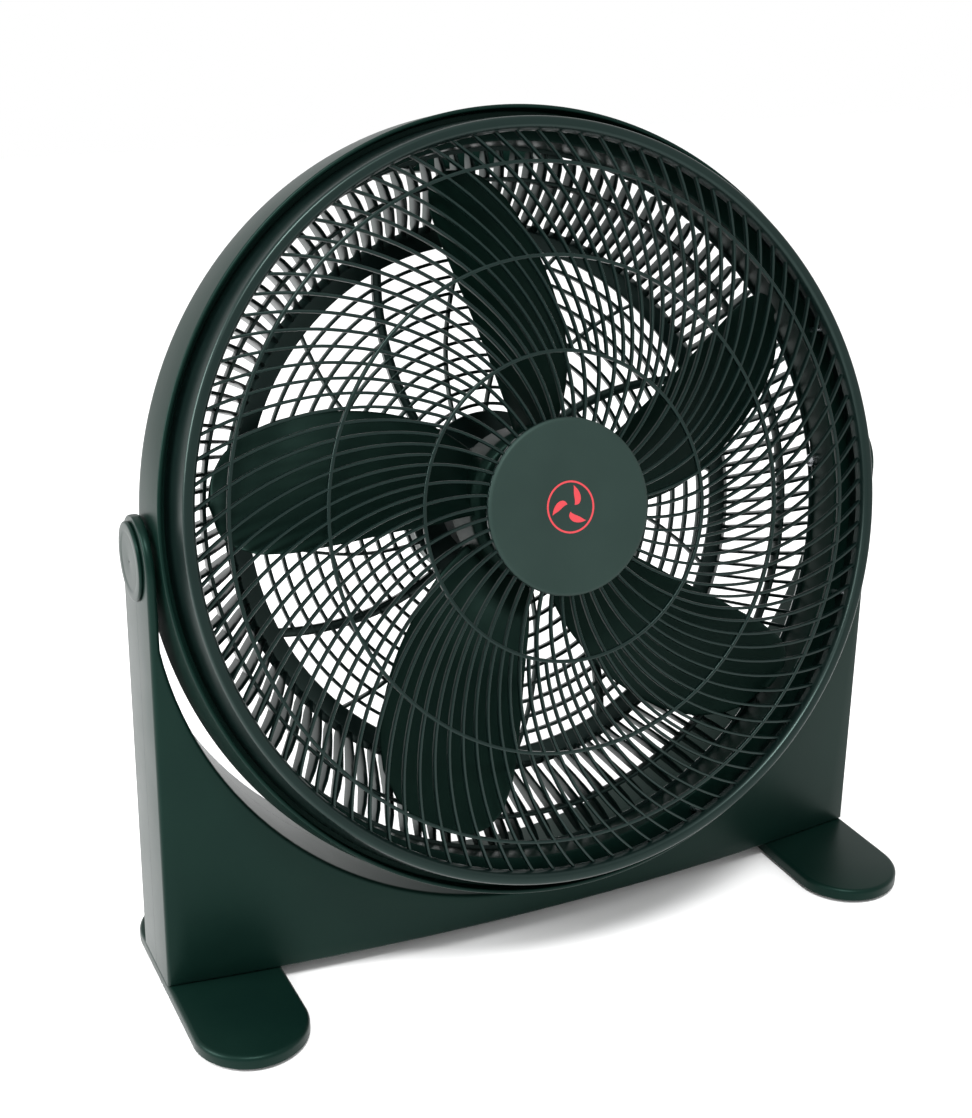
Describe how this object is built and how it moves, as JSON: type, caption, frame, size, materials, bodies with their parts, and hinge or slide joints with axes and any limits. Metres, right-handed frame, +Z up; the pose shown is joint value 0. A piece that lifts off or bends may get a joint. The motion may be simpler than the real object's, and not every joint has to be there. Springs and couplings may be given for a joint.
{
  "type": "tilting floor fan",
  "caption": "Tilting high-velocity floor fan: a round head with a spiral guard swings between the arms of a U-shaped cradle on two plate feet; speed knob at the back.",
  "frame": {"origin": "On the floor, straight below the tilt pivots, midway between the arms.", "axes": "+Z up, +X to the right of someone facing the fan, -Y the way the fan blows. The head is stored tilted 16.2 degrees up."},
  "size_m": [0.602, 0.2813, 0.6234],
  "materials": {
    "black_abs": "satin",
    "foot_rubber": "matte",
    "zinc_steel": "satin",
    "nylon_washer": "matte",
    "grille_plastic": "satin",
    "rear_grille_plastic": "satin",
    "grey_badge": "matte",
    "motor_casting": "matte",
    "core_steel": "matte",
    "copper_wire": "satin",
    "bright_steel": "satin",
    "sintered_bronze": "matte",
    "capacitor_case": "satin",
    "switch_case": "matte",
    "knob_plastic": "satin",
    "gland_rubber": "matte",
    "impeller_plastic": "satin"
  },
  "bodies": {
    "stand": {"stand_front_shell": "black_abs", "stand_rear_shell": "black_abs", "foot_left": "black_abs", "foot_right": "black_abs", "foot_pads": "foot_rubber", "stand_shell_screws": "zinc_steel", "foot_screws": "zinc_steel", "pivot_cap_left": "black_abs", "pivot_cap_right": "black_abs", "pivot_bolt_left": "zinc_steel", "pivot_bolt_right": "zinc_steel", "friction_washer_left": "nylon_washer", "friction_washer_right": "nylon_washer"},
    "head": {"drum_housing": "black_abs", "pivot_nuts": "zinc_steel", "front_grille": "grille_plastic", "rear_grille": "rear_grille_plastic", "grille_screws": "zinc_steel", "grille_badge": "grey_badge", "carry_handle": "black_abs", "handle_screws": "zinc_steel", "motor_front_bracket": "motor_casting", "motor_rear_bracket": "motor_casting", "stator_core": "core_steel", "stator_windings": "copper_wire", "shaft_bearings": "sintered_bronze", "motor_bolts": "zinc_steel", "motor_rear_cover": "black_abs", "cover_screws": "zinc_steel", "capacitor": "capacitor_case", "speed_switch": "switch_case", "cord_inlet_gland": "gland_rubber"},
    "rotor": {"impeller": "impeller_plastic", "impeller_nut": "bright_steel", "motor_shaft": "bright_steel", "rotor_core": "core_steel"},
    "knob": {"speed_knob": "knob_plastic"}
  },
  "joints": [
    {"name": "head_tilt", "type": "hinge", "parent": "stand", "child": "head", "pos_m": [0, 0, 0.336], "axis": [-1, 0, 0], "range_deg": [-31, 73]},
    {"name": "fan_spin", "type": "hinge", "parent": "head", "child": "rotor", "pos_m": [0, 0, 0.336], "axis": [0, -0.9603, 0.279], "continuous": true},
    {"name": "speed_knob_turn", "type": "hinge", "parent": "head", "child": "knob", "pos_m": [0, 0.0907, 0.28258], "axis": [0, 0.9603, -0.279], "range_deg": [0, 135]}
  ]
}
